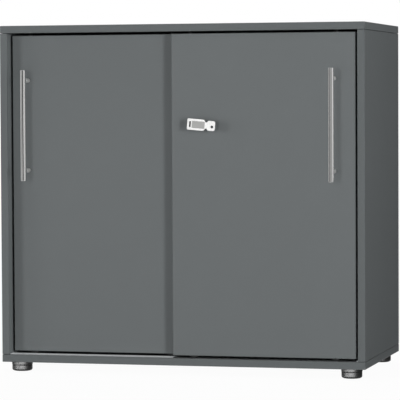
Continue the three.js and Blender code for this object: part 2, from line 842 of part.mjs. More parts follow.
function buildLock(door) {
  const axis = [lockFromDoorEdge, 0, lockCentreHeight];
  place(door, 'lock_sleeve', lockSleeve(), 'nickel', axis);
  place(door, 'lock_barrel', lockBarrel(), 'nickel', axis);
  const boltLength = boltTipDepth - barrelInDoor;
  const bolt = rod(boltDiameter, boltLength, middleSides, along.back, [0, barrelInDoor, 0]);
  place(door, 'lock_bolt', bolt, 'steel', axis);
  const key = new THREE.Group();
  key.position.set(lockFromDoorEdge, -barrelProud, lockCentreHeight);
  key.rotation.y = keyTilt;
  door.add(key);
  place(key, 'lock_plug', lockPlug(), 'nickel');
  place(key, 'key_blade', keyBlade(), 'steel');
  place(key, 'key_pin', keyPin(), 'steel', [0, -stalkReach, 0]);
  place(key, 'key_bow', keyBow(), 'nickel', [0, -stalkReach, 0]);
}

function buildDoor(side) {
  const door = new THREE.Group();
  door.position.set(doors[side].lowX, frontY + doors[side].inset, doorBottom);
  cabinet.add(door);
  place(door, `${side}_door_panel`, doorPanel(side), 'board');
  buildHandle(door, side);
  buildRunningGear(door, side);
  if (side === 'right') buildLock(door);
  else buildStriker(door);
}

buildCarcass();
buildShelfPins();
buildRails();
buildFeet();
buildDoor('left');
buildDoor('right');

export default cabinet;
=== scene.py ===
# %% [markdown]
# # A sliding door cabinet in anthracite melamine
#
# This lesson dresses a cabinet whose solids are already made: every board, wheel and screw is
# there at its real size, in metres, with the floor at Z = 0 and the doors facing -Y. Blender adds
# what the solids lack: rounded edges, turned metal, finishes and light. The solids come first,
# because every new piece takes its place and size from them.

# %% The frame of solids
import json
import math

import bmesh
import bpy
from mathutils import Matrix, Vector

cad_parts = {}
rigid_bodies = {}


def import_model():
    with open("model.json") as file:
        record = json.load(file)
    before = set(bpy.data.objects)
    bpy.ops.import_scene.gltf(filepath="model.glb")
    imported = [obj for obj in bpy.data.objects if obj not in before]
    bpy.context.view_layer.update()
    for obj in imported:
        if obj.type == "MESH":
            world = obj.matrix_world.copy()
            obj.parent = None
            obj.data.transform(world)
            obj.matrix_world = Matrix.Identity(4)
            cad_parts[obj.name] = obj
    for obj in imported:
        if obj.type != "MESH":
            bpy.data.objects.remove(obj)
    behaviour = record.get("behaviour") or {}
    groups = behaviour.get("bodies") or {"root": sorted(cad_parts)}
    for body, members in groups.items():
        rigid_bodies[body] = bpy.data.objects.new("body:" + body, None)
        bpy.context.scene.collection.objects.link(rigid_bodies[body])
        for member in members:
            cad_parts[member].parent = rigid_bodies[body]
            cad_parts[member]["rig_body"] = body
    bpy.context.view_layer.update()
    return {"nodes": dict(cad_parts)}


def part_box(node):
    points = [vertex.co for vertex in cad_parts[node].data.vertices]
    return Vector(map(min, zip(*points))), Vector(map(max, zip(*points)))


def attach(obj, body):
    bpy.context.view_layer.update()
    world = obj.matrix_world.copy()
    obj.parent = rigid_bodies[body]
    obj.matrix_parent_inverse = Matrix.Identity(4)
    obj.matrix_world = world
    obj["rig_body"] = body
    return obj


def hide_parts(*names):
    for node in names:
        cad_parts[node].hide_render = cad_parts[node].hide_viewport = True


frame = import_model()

nodes = frame["nodes"]
mm = 0.001
SIDES, LEVELS = ("left", "right"), ("upper", "lower")


def put(name, data):
    """A new object in the scene."""
    thing = bpy.data.objects.new(name, data)
    bpy.context.scene.collection.objects.link(thing)
    return thing


# %% [markdown]
# ## The camera
#
# The photograph was taken with a long lens from the cabinet's right. Such a lens keeps upright
# edges nearly parallel. The camera's place, turn and lens come from matching the six corners of
# the body that the photograph shows, so it is set by numbers, not by eye.

# %% The camera, matched to the photograph
camera_place = Vector((1.3834, -5.3181, 0.5910))
camera_turn = math.radians(14.605)
camera_tilt = math.radians(-2.334)
camera_roll = math.radians(-0.293)
photo_width = 400
focal_pixels = 2507.5

camera_data = bpy.data.cameras.new("photo_camera")
camera_data.lens = focal_pixels / photo_width * camera_data.sensor_width
camera = put("photo_camera", camera_data)
bpy.context.scene.camera = camera

looking = Vector((
    -math.sin(camera_turn) * math.cos(camera_tilt),
    math.cos(camera_turn) * math.cos(camera_tilt),
    math.sin(camera_tilt),
))
level_right = looking.cross(Vector((0, 0, 1))).normalized()
level_up = level_right.cross(looking)
right = math.cos(camera_roll) * level_right + math.sin(camera_roll) * level_up
up = math.cos(camera_roll) * level_up - math.sin(camera_roll) * level_right
turned = Matrix((right, up, -looking)).transposed()
camera.matrix_world = Matrix.Translation(camera_place) @ turned.to_4x4()
print(f"lens {camera_data.lens:.1f} mm, looking along {looking[:]}")

# %% [markdown]
# ## Small helpers for finishes
#
# A finish, here called a coat, is a little network of nodes. Helpers wire it: they add a node, do
# arithmetic, mix two values or make a noise. Colours are written as they look on a screen, from 0
# to 255, and turned into linear values for the shader.

# %% Helpers that build a finish
def paint(red, green, blue):
    def linear(level):
        share = level / 255
        return share / 12.92 if share <= 0.04045 else ((share + 0.055) / 1.055) ** 2.4
    return (linear(red), linear(green), linear(blue), 1.0)


def shaded(colour, share, plus=0.0):
    """The colour made lighter or darker."""
    return tuple(min(1.0, level * share + plus) for level in colour[:3]) + (1.0,)


def wire(coat, value, socket):
    if isinstance(value, bpy.types.NodeSocket):
        coat.node_tree.links.new(value, socket)
    else:
        socket.default_value = value


def add_node(coat, kind, inputs=None, **settings):
    node = coat.node_tree.nodes.new("ShaderNode" + kind)
    for setting, value in settings.items():
        setattr(node, setting, value)
    for socket, value in (inputs or {}).items():
        wire(coat, value, node.inputs[socket])
    return node


def calc(coat, operation, *values):
    return add_node(coat, "Math", dict(enumerate(values)), operation=operation).outputs[0]


def vector_calc(coat, operation, first, second):
    return add_node(coat, "VectorMath", {0: first, 1: second}, operation=operation).outputs[0]


def blend(coat, share, first, second):
    return add_node(coat, "Mix", {0: share, 6: first, 7: second}, data_type="RGBA").outputs[2]


def ranged(coat, value, from_low, from_high, to_low, to_high):
    inputs = {0: value, 1: from_low, 2: from_high, 3: to_low, 4: to_high}
    return add_node(coat, "MapRange", inputs).outputs[0]


def spread(coat, value, low, high):
    """A noise, which keeps mostly between 0.3 and 0.7, spread from low to high."""
    return ranged(coat, value, 0.3, 0.7, low, high)


def noise(coat, place, scale, detail=2.0, roughness=0.5):
    inputs = {"Vector": place, "Scale": scale, "Detail": detail, "Roughness": roughness}
    return add_node(coat, "TexNoise", inputs).outputs["Fac"]


def new_finish(name, **fixed):
    coat = bpy.data.materials.new(name)
    coat.use_nodes = True
    shader = coat.node_tree.nodes["Principled BSDF"]
    for socket, value in fixed.items():
        shader.inputs[socket.replace("_", " ")].default_value = value
    return coat, add_node(coat, "TexCoord").outputs["Object"]


def cover(coat, colour, roughness, height, distance):
    """Gives the finish its colour, its roughness and the relief of a height."""
    relief = {"Strength": 1.0, "Distance": distance, "Height": height}
    normal = add_node(coat, "Bump", relief).outputs[0]
    inputs = coat.node_tree.nodes["Principled BSDF"].inputs
    for socket, value in {"Base Color": colour, "Roughness": roughness, "Normal": normal}.items():
        wire(coat, value, inputs[socket])
    return coat


# %% [markdown]
# ## The melamine board
#
# The boards are chipboard between two papers soaked in melamine resin, pressed to a fine pearl
# texture. A plastic band in the same grey closes the cut edges, and inside a groove or a hole the
# wood chips show. One finish does all three. It measures
# how deep a point lies inside the board's box: at the surface it is melamine, near a narrow edge
# the band, and deeper down chips. A hairline seam parts face and band.

# %% The finish of a board
AXES = "XYZ"
BAND_THICKNESS = 1.0 * mm
SEAM_WIDTH = 0.14 * mm
SKIN_DEPTH = 0.6 * mm
JOINT_LINE = 0.5 * mm
REAR_DOOR_LIFT = 1.0 * mm
PEARL_SIZE, CLOUD_SIZE, CHIP_SIZE = 0.45 * mm, 60 * mm, 1.6 * mm
LIGHTER, DARKER, CLOUD_STRENGTH = 1.10, 0.91, 0.16
SATIN = (0.56, 0.68)
PEARL_RELIEF, SEAM_RELIEF, RELIEF = 0.03, 0.4, 0.3 * mm


def board_box(node):
    """The board's box, less a side board's joint lines and the wider gap under the rear door."""
    low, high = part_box(node)
    if "side" in node:
        low.z += JOINT_LINE
        high.z -= JOINT_LINE
    elif node == "left_door_panel":
        low.z += REAR_DOOR_LIFT
    return low, high


def chip_colour(coat, place):
    flakes = add_node(coat, "TexVoronoi", {"Vector": place, "Scale": 1 / (1.8 * mm)})
    shade = add_node(coat, "SeparateColor", {0: flakes.outputs["Color"]}).outputs[0]
    fibre = noise(coat, place, 1 / (0.4 * mm), detail=3.0)
    shades, fibres = calc(coat, "MULTIPLY", shade, 0.6), calc(coat, "MULTIPLY", fibre, 0.4)
    share = calc(coat, "ADD", shades, fibres)
    return blend(coat, share, paint(122, 94, 62), paint(203, 172, 126))


def board_finish(name, node, thin_axis, face, band):
    coat, place = new_finish(name, Specular_IOR_Level=0.25)
    low, high = board_box(node)
    above = vector_calc(coat, "SUBTRACT", place, low)
    below = vector_calc(coat, "SUBTRACT", high, place)
    nearer = vector_calc(coat, "MINIMUM", above, below)
    inset = add_node(coat, "SeparateXYZ", {0: nearer}).outputs
    wide = [inset[i] for i in range(3) if AXES[i] != thin_axis]
    to_edge = calc(coat, "MINIMUM", *wide)
    depth = calc(coat, "MINIMUM", to_edge, inset[AXES.index(thin_axis)])
    in_band = calc(coat, "LESS_THAN", to_edge, BAND_THICKNESS)
    in_core = calc(coat, "GREATER_THAN", depth, SKIN_DEPTH)
    off_seam = calc(coat, "ABSOLUTE", calc(coat, "SUBTRACT", to_edge, BAND_THICKNESS))
    seam = calc(coat, "LESS_THAN", off_seam, SEAM_WIDTH / 2)

    pearl = noise(coat, place, 1 / PEARL_SIZE, detail=3.0)
    cloud = noise(coat, place, 1 / CLOUD_SIZE)
    lighter = shaded(face, LIGHTER)
    speckled = blend(coat, spread(coat, pearl, 0.2, 0.8), shaded(face, DARKER), lighter)
    clouded = blend(coat, spread(coat, cloud, 0.0, CLOUD_STRENGTH), speckled, lighter)
    banded = blend(coat, in_band, clouded, band)
    seamed = blend(coat, seam, banded, seam_shade)
    colour = blend(coat, in_core, seamed, chip_colour(coat, place))

    satin = ranged(coat, pearl, 0.25, 0.75, *SATIN)
    smoother = calc(coat, "SUBTRACT", satin, calc(coat, "MULTIPLY", in_band, 0.08))
    rougher = calc(coat, "MULTIPLY", in_core, 0.25)
    roughness = calc(coat, "ADD", smoother, rougher)
    chips = noise(coat, place, 1 / CHIP_SIZE, detail=4.0)
    pearled = calc(coat, "MULTIPLY", pearl, PEARL_RELIEF)
    relief = calc(coat, "ADD", pearled, calc(coat, "MULTIPLY", in_core, chips))
    relief = calc(coat, "SUBTRACT", relief, calc(coat, "MULTIPLY", seam, SEAM_RELIEF))
    return cover(coat, colour, roughness, relief, RELIEF)


seam_shade = paint(62, 64, 63)
door_colours = (paint(105, 109, 110), paint(100, 104, 105))
# The body boards' colours are darker than the doors'. That is painted shade, which darkens the
# right side face beyond what the lamps give.
body_colours_with_painted_shade = (paint(97, 101, 102), paint(98, 102, 103))
print("board finish ready")

# %% [markdown]
# ## Pieces and their bodies
#
# Each piece moves with one body of the frame: a door, a wheel, the carcass. A helper gives a mesh
# its finish, hands it to its body and hides the solid that it stands for.

# %% Helpers that place a piece
def body_of(node):
    return nodes[node]["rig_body"]


def add_piece(name, mesh, coats, node):
    piece = put(name, mesh)
    mesh.materials.clear()
    for coat in coats:
        mesh.materials.append(coat)
    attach(piece, body_of(node))
    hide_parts(node)
    return piece


def smooth(mesh, sharpest=35):
    mesh.polygons.foreach_set("use_smooth", [True] * len(mesh.polygons))
    mesh.set_sharp_from_angle(angle=math.radians(sharpest))
    return mesh


def made_mesh(shape, name):
    """Turns the form that is being built into a mesh."""
    mesh = bpy.data.meshes.new(name)
    shape.to_mesh(mesh)
    shape.free()
    return mesh


# %% [markdown]
# ## Boards with rounded bands
#
# A banded board has rounded edges, which catch the light and draw pale lines round the doors. The
# solid has every groove, pocket and bore already, so its mesh is copied, its triangles are joined
# into whole faces, and only the outer edges get a bevel. The side boards end half a millimetre
# short of the boards above and below, which gives a dark joint line. The rear door ends a
# millimetre higher, as in the photograph.

# %% Boards from their solids
BOARDS = {
    "top_panel": "Z", "bottom_panel": "Z", "left_side_panel": "X", "right_side_panel": "X",
    "back_panel": "Y", "shelf": "Z", "left_door_panel": "Y", "right_door_panel": "Y",
}
DOOR_ROUNDING, BODY_ROUNDING = 1.4 * mm, 1.2 * mm
ROUNDING_STEPS = 4
NEAR = 0.01 * mm
SAME_CORNER = 0.005 * mm
FLAT = math.radians(0.5)


def whole_faces(node):
    """The solid's form, with its flat triangles joined."""
    shape = bmesh.new()
    shape.from_mesh(nodes[node].data)
    bmesh.ops.remove_doubles(shape, verts=shape.verts, dist=SAME_CORNER)
    bmesh.ops.dissolve_limit(shape, angle_limit=FLAT, verts=shape.verts, edges=shape.edges)
    return shape


def round_off(shape, edges, width, steps):
    bmesh.ops.bevel(
        shape, geom=edges, offset=width, segments=steps, affect="EDGES", profile=0.5
    )


def outer_sides(point, low, high):
    """How many of the box's six faces a point lies on."""
    return sum(min(abs(point[i] - low[i]), abs(point[i] - high[i])) < NEAR for i in range(3))


def board_mesh(node, rounding):
    whole_low, whole_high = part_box(node)
    low, high = board_box(node)
    shape = whole_faces(node)
    for corner in shape.verts:
        if abs(corner.co.z - whole_high.z) < NEAR:
            corner.co.z = high.z
        elif abs(corner.co.z - whole_low.z) < NEAR:
            corner.co.z = low.z
    outer = [
        edge for edge in shape.edges
        if outer_sides((edge.verts[0].co + edge.verts[1].co) / 2, low, high) == 2
        and edge.calc_face_angle(0) > FLAT
    ]
    round_off(shape, outer, rounding, ROUNDING_STEPS)
    return smooth(made_mesh(shape, node + "_rounded"))


for node, thin_axis in BOARDS.items():
    is_door = "door" in node
    colours = door_colours if is_door else body_colours_with_painted_shade
    coat = board_finish(f"melamine_{node}", node, thin_axis, *colours)
    mesh = board_mesh(node, DOOR_ROUNDING if is_door else BODY_ROUNDING)
    piece = add_piece(node.replace("panel", "board") + "_banded", mesh, [coat], node)
    weighted = piece.modifiers.new("even_normals", "WEIGHTED_NORMAL")
    weighted.keep_sharp = True
    print(piece.name, len(mesh.polygons), "faces")

# %% [markdown]
# ## Metal and plastic finishes
#
# Drawn metal has countless fine scratches in one direction. They spread a reflection across the
# brushing, so a round bar shows soft bands of light. Noise stretched along the bar makes them: in
# the colour, the roughness and a low relief. Moulded plastic gets a fine even grain.

# %% Finishes of the metal and plastic parts
STRETCH = 0.02
METAL_CLOUD, PLASTIC_FLOW = 14 * mm, 22 * mm
TONE, WEAR = 0.03, 0.015
METAL_SPREAD, PLASTIC_SPREAD = 0.03, 0.06
SCRATCH_RELIEF = 0.0012 * mm


def brushed_finish(name, colour, roughness, along, grain=0.25 * mm, metal=1.0):
    coat, place = new_finish(name, Metallic=metal)
    scales = tuple((STRETCH if axis == along else 1.0) / grain for axis in AXES)
    drawn = vector_calc(coat, "MULTIPLY", place, scales)
    scratches = noise(coat, drawn, 1.0, detail=3.0)
    cloud = noise(coat, place, 1 / METAL_CLOUD)
    tones = blend(coat, scratches, shaded(colour, 1 - TONE), shaded(colour, 1 + TONE))
    worn = spread(coat, cloud, -WEAR, WEAR)
    grooved = spread(coat, scratches, roughness - METAL_SPREAD, roughness + METAL_SPREAD)
    return cover(coat, tones, calc(coat, "ADD", grooved, worn), scratches, SCRATCH_RELIEF)


def moulded_finish(name, colour, roughness, grain=0.5 * mm, relief=0.02 * mm, **fixed):
    coat, place = new_finish(name, **fixed)
    eroded = noise(coat, place, 1 / grain, detail=4.0, roughness=0.6)
    flow = noise(coat, place, 1 / PLASTIC_FLOW, detail=1.0)
    tones = blend(coat, flow, colour, shaded(colour, 1.12, 0.001))
    grained = spread(coat, eroded, roughness - PLASTIC_SPREAD, roughness + PLASTIC_SPREAD)
    return cover(coat, tones, grained, eroded, relief)


bar_steel = brushed_finish("satin_bar_steel", paint(220, 220, 219), 0.12, "Z")
post_steel = brushed_finish("satin_post_steel", paint(226, 226, 224), 0.42, "Y", metal=0.45)
zinc = brushed_finish("bright_zinc_plate", paint(186, 189, 192), 0.34, "Z", grain=1.5 * mm)
nickel = brushed_finish("polished_nickel", paint(244, 244, 243), 0.20, "X", grain=0.4 * mm)
recess_nickel = brushed_finish("blasted_nickel", paint(222, 222, 220), 0.44, "X", grain=0.2 * mm)
black_plastic = moulded_finish("black_moulding", paint(22, 23, 23), 0.48)
foot_plastic = moulded_finish(
    "foot_moulding", paint(13, 14, 14), 0.46, relief=0.008 * mm, Specular_IOR_Level=0.16
)
wheel_plastic = moulded_finish("dark_acetal", paint(44, 45, 45), 0.36, 0.3 * mm, 0.01 * mm)
track_plastic = moulded_finish("pale_extrusion", paint(184, 187, 188), 0.45, 0.8 * mm, 0.01 * mm)
print("metal and plastic finishes ready")

# %% [markdown]
# ## Turned parts
#
# Bars, posts, feet, wheels and the lock are round. This helper is a lathe: it takes a profile as
# pairs of radius and height, rounds its corners and sweeps it about the solid's axis. That gives a
# finer surface than the solid's few flat sides.

# %% A lathe for round parts
LATHE_SIDES = 64
CORNER_STEPS = 5
ON_AXIS = 1e-7
UP, BACK, FORWARD = (0, 0, 1), (0, 1, 0), (0, -1, 0)


def rod(radius, start, end):
    """The profile of a plain rod between two heights."""
    return [(0, start), (radius, start), (radius, end), (0, end)]


def softened(profile, radius):
    """The profile with each of its inner corners rounded."""
    points = [Vector(point) for point in profile]
    out = [points[0]]
    for before, corner, after in zip(points, points[1:], points[2:]):
        reach = min(radius, (before - corner).length * 0.45, (after - corner).length * 0.45)
        start = corner + (before - corner).normalized() * reach
        end = corner + (after - corner).normalized() * reach
        for step in range(CORNER_STEPS + 1):
            share = step / CORNER_STEPS
            near, far = start.lerp(corner, share), corner.lerp(end, share)
            out.append(near.lerp(far, share))
    out.append(points[-1])
    return out


def facing(direction):
    """A turn that brings +Z to the direction."""
    return Vector(UP).rotation_difference(Vector(direction)).to_matrix().to_4x4()


def lathe(name, profile, start, direction, rounding=0.2 * mm, sides=LATHE_SIDES):
    profile = softened(profile, rounding) if rounding else [Vector(point) for point in profile]
    shape = bmesh.new()
    rings = []
    for radius, height in profile:
        if radius < ON_AXIS:
            rings.append([shape.verts.new((0, 0, height))] * sides)
            continue
        angles = [2 * math.pi * side / sides for side in range(sides)]
        ring = [(radius * math.cos(a), radius * math.sin(a), height) for a in angles]
        rings.append([shape.verts.new(point) for point in ring])
    closed = profile[0][0] > ON_AXIS
    pairs = list(zip(rings, rings[1:])) + ([(rings[-1], rings[0])] if closed else [])
    for lower, upper in pairs:
        for side in range(sides):
            after = (side + 1) % sides
            corners = dict.fromkeys((lower[side], lower[after], upper[after], upper[side]))
            if len(corners) > 2:
                shape.faces.new(list(corners))
    bmesh.ops.recalc_face_normals(shape, faces=shape.faces)
    shape.transform(Matrix.Translation(Vector(start)) @ facing(direction))
    return smooth(made_mesh(shape, name), 50)


def middle(node):
    low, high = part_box(node)
    return (low + high) / 2


def size(node):
    low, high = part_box(node)
    return high - low


# %% [markdown]
# ## Cutting and joining
#
# Some parts are cut from one blank: a key's bow has a hole and a shallow field, a screw has a
# cross in its head. A Boolean modifier does such cuts. The helper keeps only the new mesh, so no
# cutter is left in the scene. A flat part starts from an outline, and a screw from many rings.

# %% Helpers for cut and flat parts
def combined(name, blank, others, operation="DIFFERENCE", sharpest=40):
    """The blank with the other meshes cut from it, or joined to it."""
    whole = put(name + "_blank", blank)
    helpers = [whole]
    for other in others:
        helper = put(name + "_helper", other)
        step = whole.modifiers.new("step", "BOOLEAN")
        step.operation, step.solver, step.object = operation, "EXACT", helper
        helpers.append(helper)
    result = whole.evaluated_get(bpy.context.evaluated_depsgraph_get())
    mesh = bpy.data.meshes.new_from_object(result)
    mesh.name = name
    for helper in helpers:
        bpy.data.objects.remove(helper)
    return smooth(mesh, sharpest)


def joined(shape, name, loops, ends=()):
    """The mesh with faces from each loop of corners to the next, all turned outwards."""
    for lower, upper in zip(loops, loops[1:]):
        for i, corner in enumerate(lower):
            shape.faces.new((lower[i - 1], corner, upper[i], upper[i - 1]))
    for end in ends:
        shape.faces.new(end)
    bmesh.ops.recalc_face_normals(shape, faces=shape.faces)
    return made_mesh(shape, name)


def loft(name, loops):
    """A closed mesh through loops of points, with a flat face at each end."""
    shape = bmesh.new()
    loops = [[shape.verts.new(point) for point in loop] for loop in loops]
    return joined(shape, name, loops, (loops[0][::-1], loops[-1]))


def slab(name, outline, near, far, across="Y"):
    """An outline given a thickness from near to far along Y, or along X or Z."""
    def stood(a, b, depth):
        return {"Y": (a, depth, b), "X": (depth, a, b), "Z": (a, b, depth)}[across]
    shape = bmesh.new()
    front = [shape.verts.new(stood(*point, near)) for point in outline]
    back = [shape.verts.new(stood(*point, far)) for point in outline]
    shape.faces.new(front)
    shape.faces.new(back[::-1])
    return joined(shape, name, [front, back])


def box_cutter(low, high):
    (x0, y0, z0), (x1, y1, z1) = low, high
    return slab("cutter", [(x0, z0), (x1, z0), (x1, z1), (x0, z1)], y0, y1)


def arc(centre, radius, first, last, steps=6):
    """Points of an arc, between two angles in degrees."""
    angles = [math.radians(first + (last - first) * step / steps) for step in range(steps + 1)]
    return [(centre[0] + radius * math.cos(a), centre[1] + radius * math.sin(a)) for a in angles]


def rounded_outline(low, high, radius):
    """A rectangle with round corners, going round from its lower left corner."""
    (x0, z0), (x1, z1) = [(x + r, z + r) for (x, z), r in ((low, radius), (high, -radius))]
    quarters = zip(((x0, z0), (x1, z0), (x1, z1), (x0, z1)), (180, 270, 360, 450))
    return [point for centre, turn in quarters for point in arc(centre, radius, turn, turn + 90)]


def rounded_plate(name, node, corner):
    """A plate with round corners that fills the solid's box."""
    low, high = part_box(node)
    return slab(name, rounded_outline(low.xz, high.xz, corner), low.y, high.y)


def break_edges(piece, width):
    bevel = piece.modifiers.new("broken_edges", "BEVEL")
    bevel.width, bevel.segments = width, 2
    bevel.limit_method, bevel.angle_limit = "ANGLE", math.radians(40)
    bevel.harden_normals = True


# %% [markdown]
# ## The bar handles
#
# Each door has a round bar on two posts. The bar is drawn steel, with its ends turned flat and a
# little rounded. The solids give its axis, length and thickness. A post's end is hollowed to fit
# the bar, as on a welded handle.

# %% Bars and posts
BAR_ROUNDING = 0.9 * mm
POST_STATIONS = (0.02, 0.4, 0.75, 1)
POST_CHAMFER = 0.3 * mm
SADDLE_SINK = 0.02 * mm


def saddled(mesh, axis, bar_radius):
    """Draws the post's end back onto the bar's surface."""
    for corner in mesh.vertices:
        if corner.co.y < axis.y + bar_radius:
            sideways = min(abs(corner.co.x - axis.x), bar_radius)
            surface = axis.y + math.sqrt(bar_radius ** 2 - sideways ** 2)
            corner.co.y = surface - SADDLE_SINK


for side in SIDES:
    node = f"{side}_handle_bar"
    length, radius = size(node).z, size(node).x / 2
    start = middle(node) - Vector((0, 0, length / 2))
    mesh = lathe(node + "_turned", rod(radius, 0, length), start, UP, BAR_ROUNDING)
    add_piece(f"{side}_round_bar", mesh, [bar_steel], node)
    for level in LEVELS:
        post = f"{side}_handle_post_{level}"
        thickness = size(post).x / 2
        foot = Vector((middle(post).x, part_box(post)[1].y, middle(post).z))
        reach = foot.y - middle(node).y
        stations = [(thickness, reach * share) for share in POST_STATIONS]
        profile = [(0, 0), (thickness - POST_CHAMFER, 0)] + stations + [(0, reach)]
        mesh = lathe(post + "_turned", profile, foot, FORWARD, rounding=0)
        saddled(mesh, middle(node), radius)
        add_piece(f"{side}_bar_post_{level}", mesh, [post_steel], post)
    print(f"{side} bar: {length / mm:.0f} mm long, {2 * radius / mm:.0f} mm thick")

# %% [markdown]
# ## Screws
#
# Countersunk screws hold the handles from inside the doors, and two hold the striker plate. A
# screw's thread is a spiral: the radius rises and falls once in each pitch, and the phase turns
# with the angle. The cross in the head is cut with a tapered cross, as a punch forms it.

# %% Countersunk screws with real threads
SCREW_SIDES = 24
STEPS_IN_PITCH = 5
CREST_SLOPE = 2.6
TIP_PITCHES = 1.5
ROOT_SHARE = 0.78
HEAD_EDGE, HEAD_LIP = 0.15 * mm, 0.12 * mm
CROSS_REACH, CROSS_WIDTH, CROSS_DEPTH, CROSS_TAPER = 0.55, 0.12, 0.8, 0.5
# radius, head's radius and height, pitch
MACHINE_SCREW = (2 * mm, 4.2 * mm, 2.4 * mm, 0.7 * mm)
WOOD_SCREW = (1.75 * mm, 3.3 * mm, 1.9 * mm, 1.3 * mm)


def threaded_blank(name, length, radius, head_radius, head_height, pitch):
    """A countersunk screw along +Z, its flat head at the origin."""
    root = radius * ROOT_SHARE
    shank = head_height + pitch
    steps = round((length - shank) / pitch * STEPS_IN_PITCH)
    heights = [shank + (length - shank) * step / steps for step in range(steps + 1)]
    head = [(head_radius - HEAD_EDGE, 0), (head_radius, HEAD_LIP), (root, head_height)]
    rings = [[point] * SCREW_SIDES for point in head]
    for height in heights:
        ring = []
        tip = min(1.0, (length - height) / (TIP_PITCHES * pitch))
        for side in range(SCREW_SIDES):
            phase = (height / pitch - side / SCREW_SIDES) % 1.0
            crest = max(0.0, 1 - abs(phase - 0.5) * CREST_SLOPE)
            ring.append((root + (radius - root) * crest * tip, height))
        rings.append(ring)
    turns = [2 * math.pi * side / SCREW_SIDES for side in range(SCREW_SIDES)]
    return loft(name, [
        [(reach * math.cos(a), reach * math.sin(a), z) for a, (reach, z) in zip(turns, ring)]
        for ring in rings
    ])


def cross_cutter(reach, width, depth):
    outline = [(reach, width), (width, width), (width, reach)]
    quarter = [[(x, z), (-z, x), (-x, -z), (z, -x)] for x, z in outline]
    cross = [corner[turn] for turn in range(4) for corner in quarter]
    ends = ((-0.2 * mm, 1.0), (depth, CROSS_TAPER))
    return loft("cross", [[(x * scale, z * scale, end) for x, z in cross] for end, scale in ends])


def add_screw(name, node, sizes, direction):
    start = middle(node)
    start.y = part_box(node)[0 if direction == BACK else 1].y
    blank = threaded_blank(name, size(node).y, *sizes)
    cross = cross_cutter(sizes[1] * CROSS_REACH, sizes[1] * CROSS_WIDTH, sizes[2] * CROSS_DEPTH)
    mesh = combined(name, blank, [cross], sharpest=28)
    mesh.transform(Matrix.Translation(start) @ facing(direction))
    add_piece(name, mesh, [zinc], node)


for side in SIDES:
    for level in LEVELS:
        node = f"{side}_handle_screw_{level}"
        add_screw(f"{side}_bar_screw_{level}", node, MACHINE_SCREW, FORWARD)
for level in LEVELS:
    add_screw(f"striker_wood_screw_{level}", f"striker_screw_{level}", WOOD_SCREW, BACK)
print("screws ready")

# %% [markdown]
# ## Feet
#
# A black moulded ring is screwed under the bottom board, with a broad foot below it on a spindle.
# The foot's lower rim is well rounded, so it slides over carpet. A hexagon socket in the spindle's
# top lets a key turn the foot from inside the cabinet.

# %% Feet and their rings
FOOT_ENDS = [f"{end}_{side}" for end in ("front", "rear") for side in SIDES]
RIM_IN, RIM_UP = 6.5 * mm, 4.5 * mm
RIM_STEPS = 8
RING_CHAMFER = 1.2 * mm
SPINDLE_RADIUS, RING_BORE, RING_GAP = 5.0 * mm, 5.3 * mm, 0.3 * mm
SOCKET_RADIUS, SOCKET_DEPTH = 3.46 * mm, 6.0 * mm
for corner in FOOT_ENDS:
    ring, base = f"foot_mount_{corner}", f"foot_base_{corner}"
    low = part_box(ring)[0]
    outer, height = size(ring).x / 2, size(ring).z
    start = Vector((middle(ring).x, middle(ring).y, low.z))
    profile = [(RING_BORE, 0), (outer - RING_CHAMFER, 0), (outer, RING_CHAMFER)]
    profile += [(outer, height), (RING_BORE, height)]
    mesh = lathe(ring + "_moulded", profile, start, UP, rounding=0.5 * mm)
    add_piece(f"foot_ring_{corner}", mesh, [foot_plastic], ring)
    radius = size(base).x / 2
    shoulder = low.z - RING_GAP
    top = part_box(base)[1].z
    rim = [(radius - RIM_IN * (1 - math.sin(a)), RIM_UP * (1 - math.cos(a)))
           for a in (math.radians(90 / RIM_STEPS * step) for step in range(RIM_STEPS + 1))]
    profile = [(0, 0)] + rim + [(radius, shoulder), (SPINDLE_RADIUS, shoulder)]
    profile += [(SPINDLE_RADIUS, top), (0, top)]
    blank = lathe(base + "_moulded", profile, (0, 0, 0), UP, rounding=0.4 * mm)
    hexagon = arc((0, 0), SOCKET_RADIUS, 15, 315, steps=5)
    socket = slab("socket", hexagon, top - SOCKET_DEPTH, top + 1 * mm, across="Z")
    mesh = combined(base + "_socketed", blank, [socket])
    mesh.transform(Matrix.Translation((middle(base).x, middle(base).y, 0)))
    add_piece(f"levelling_foot_{corner}", mesh, [foot_plastic], base)
print("feet ready")

# %% [markdown]
# ## Running gear
#
# Each door rolls on two plastic wheels. A wheel has a thin web between hub and tread, and a narrow
# ridge round the tread runs in the track's groove. It turns on a steel axle in a housing pressed
# into the door's lower edge.

